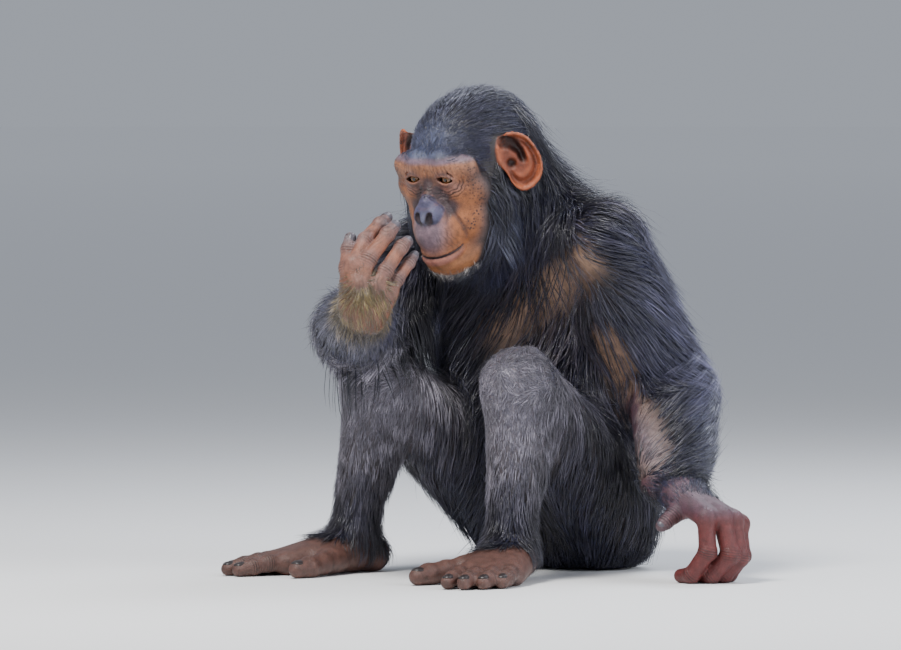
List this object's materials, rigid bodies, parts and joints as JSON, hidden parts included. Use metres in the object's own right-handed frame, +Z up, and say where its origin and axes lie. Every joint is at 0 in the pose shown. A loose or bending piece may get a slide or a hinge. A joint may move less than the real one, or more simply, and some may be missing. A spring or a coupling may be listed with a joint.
{
  "type": "museum model of a sitting young chimpanzee",
  "caption": "Life-size still model of a young chimpanzee sitting on the floor, knees drawn up, one hand raised to the mouth and the other propped on its knuckles.",
  "frame": {"origin": "middle of the flat the seat rests on, at floor level", "axes": "+Z up, -Y is where the chest and the feet point, +X is the animal's left"},
  "size_m": [0.4959, 0.4577, 0.5078],
  "materials": {
    "hair": "long straight near-black hair with a grey-blue sheen",
    "skin": "bare creased skin, orange-pink with darker freckles",
    "eye": "wet, amber-brown",
    "nail": "dark grey horn"
  },
  "bodies": {
    "root": {"ear_left": "skin", "ear_right": "skin", "eye_left": "eye", "eye_right": "eye", "foot_left": "skin", "foot_right": "skin", "forearm_left": "hair", "forearm_right": "hair", "hand_left": "skin", "hand_right": "skin", "head": "skin", "index_left": "skin", "index_right": "skin", "little_left": "skin", "little_right": "skin", "middle_left": "skin", "middle_right": "skin", "neck": "hair", "ring_left": "skin", "ring_right": "skin", "shin_left": "hair", "shin_right": "hair", "thigh_left": "hair", "thigh_right": "hair", "thumb_left": "skin", "thumb_right": "skin", "toe_big_left": "skin", "toe_big_right": "skin", "toe_fifth_left": "skin", "toe_fifth_right": "skin", "toe_fourth_left": "skin", "toe_fourth_right": "skin", "toe_second_left": "skin", "toe_second_right": "skin", "toe_third_left": "skin", "toe_third_right": "skin", "torso": "hair", "upper_arm_left": "hair", "upper_arm_right": "hair"}
  },
  "joints": []
}
